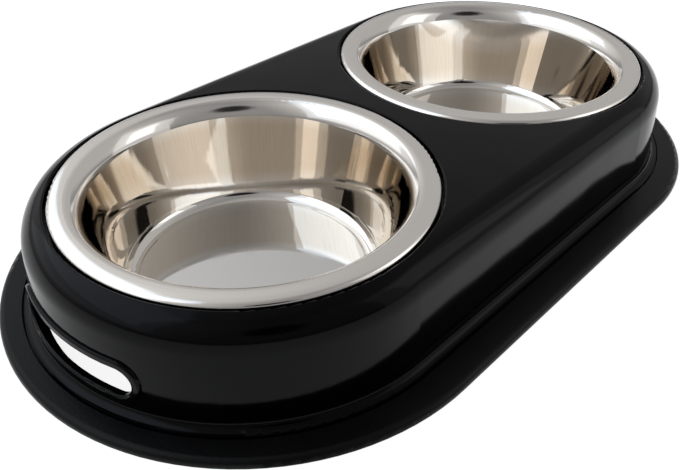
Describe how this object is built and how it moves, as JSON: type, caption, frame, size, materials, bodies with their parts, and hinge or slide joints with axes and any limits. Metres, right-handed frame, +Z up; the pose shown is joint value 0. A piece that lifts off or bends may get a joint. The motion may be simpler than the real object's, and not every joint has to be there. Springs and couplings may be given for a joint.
{
  "type": "double pet bowl",
  "caption": "Obround pet feeder: steel bowls with rolled rims hang in the wells of a low glossy moulded stand that has a framed hand slot in each end wall and a rubber foot ring.",
  "frame": {"origin": "centre of the footprint, on the surface that the foot ring stands on", "axes": "+X along the line through both bowl centres, towards the right bowl; +Z up; -Y is the side towards the viewer"},
  "size_m": [0.4146, 0.2376, 0.052],
  "materials": {
    "stand_plastic": "glossy black moulded plastic",
    "ring_rubber": "matt charcoal rubber",
    "bowl_steel": "polished stainless wall and rim, satin floor"
  },
  "bodies": {
    "base": {"stand": "stand_plastic", "foot_ring": "ring_rubber"},
    "left_bowl_body": {"left_bowl": "bowl_steel"},
    "right_bowl_body": {"right_bowl": "bowl_steel"}
  },
  "joints": [
    {"name": "left_bowl_lift", "type": "slide", "parent": "base", "child": "left_bowl_body", "axis": [0, 0, 1], "range_m": [0, 0.06]},
    {"name": "right_bowl_lift", "type": "slide", "parent": "base", "child": "right_bowl_body", "axis": [0, 0, 1], "range_m": [0, 0.06]}
  ]
}
